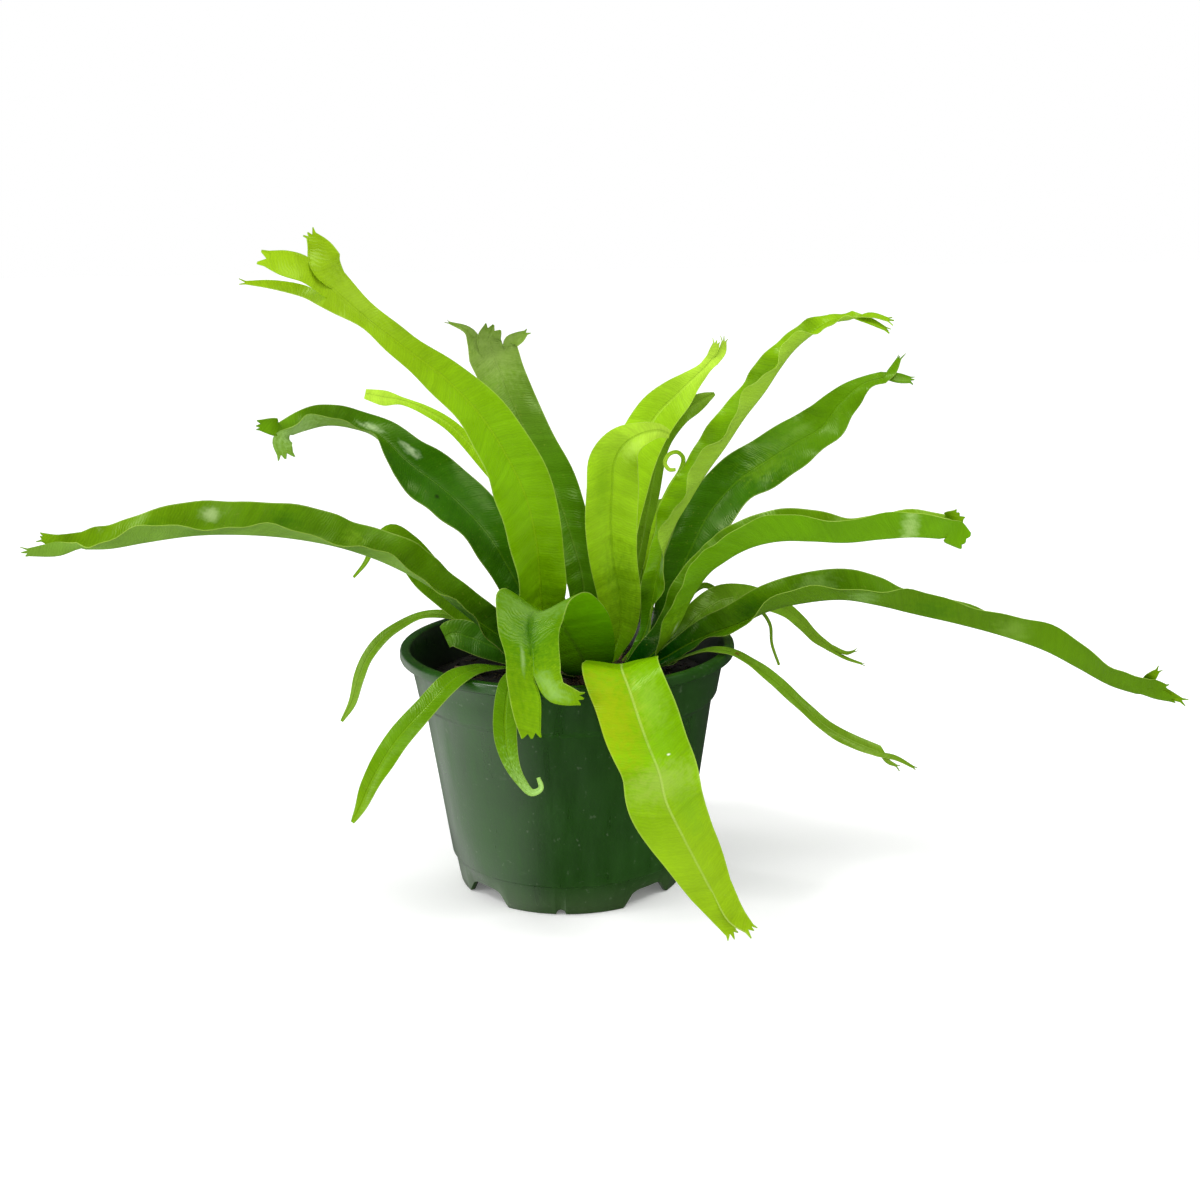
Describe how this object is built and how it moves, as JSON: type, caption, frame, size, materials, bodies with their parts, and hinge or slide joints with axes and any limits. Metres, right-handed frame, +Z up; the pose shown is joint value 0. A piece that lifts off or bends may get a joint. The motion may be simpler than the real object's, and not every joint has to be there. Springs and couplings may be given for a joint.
{
  "type": "potted crested bird's nest fern",
  "caption": "Crested bird's nest fern in a round nursery pot: long strap fronds with rippled margins and forked, crested tips rise and arch from one crown.",
  "frame": {"origin": "middle of the flat underside of the pot, on the surface that it stands on", "axes": "+Z up the pot's axis, +X to the right seen from the front, along the plant's widest spread, -Y towards the front"},
  "size_m": [0.5346, 0.252, 0.3202],
  "materials": {
    "pot": "satin dark green moulded plastic, faintly scuffed",
    "potting_mix": "rough moist fibrous mix",
    "crown": "dark scaly rootstock",
    "dead_stalk": "dry tan stalk",
    "frond_lime": "waxy leaf, bright lime green",
    "frond_light": "waxy leaf, pale yellow green",
    "frond_green": "glossy leaf, mid green",
    "frond_dark": "glossy leaf, deep green",
    "frond_olive": "duller leaf, grey green"
  },
  "bodies": {
    "root": {"pot": "pot", "potting_mix": "potting_mix", "crown": "crown", "dead_stalk_long": "dead_stalk", "dead_stalk_short": "dead_stalk", "frond_tall_left": "frond_lime", "frond_back_left_upright": "frond_dark", "frond_left_glossy": "frond_green", "frond_long_left": "frond_green", "frond_behind_left": "frond_green", "frond_back_left_drooping": "frond_olive", "frond_front_left_drooping": "frond_green", "frond_left_stub": "frond_dark", "frond_front_crested": "frond_green", "frond_front_curl": "frond_green", "frond_front_right_broad": "frond_lime", "frond_centre_light": "frond_light", "frond_centre_back_light": "frond_light", "frond_centre_back_narrow": "frond_dark", "frond_coiled_tip": "frond_light", "frond_right_tall": "frond_light", "frond_right_broad": "frond_dark", "frond_right_level": "frond_lime", "frond_long_right": "frond_green", "frond_thread": "frond_dark", "frond_back_right_arching": "frond_olive", "frond_right_drooping": "frond_green", "frond_budding_left": "frond_light", "frond_back_arching": "frond_olive"}
  },
  "joints": []
}
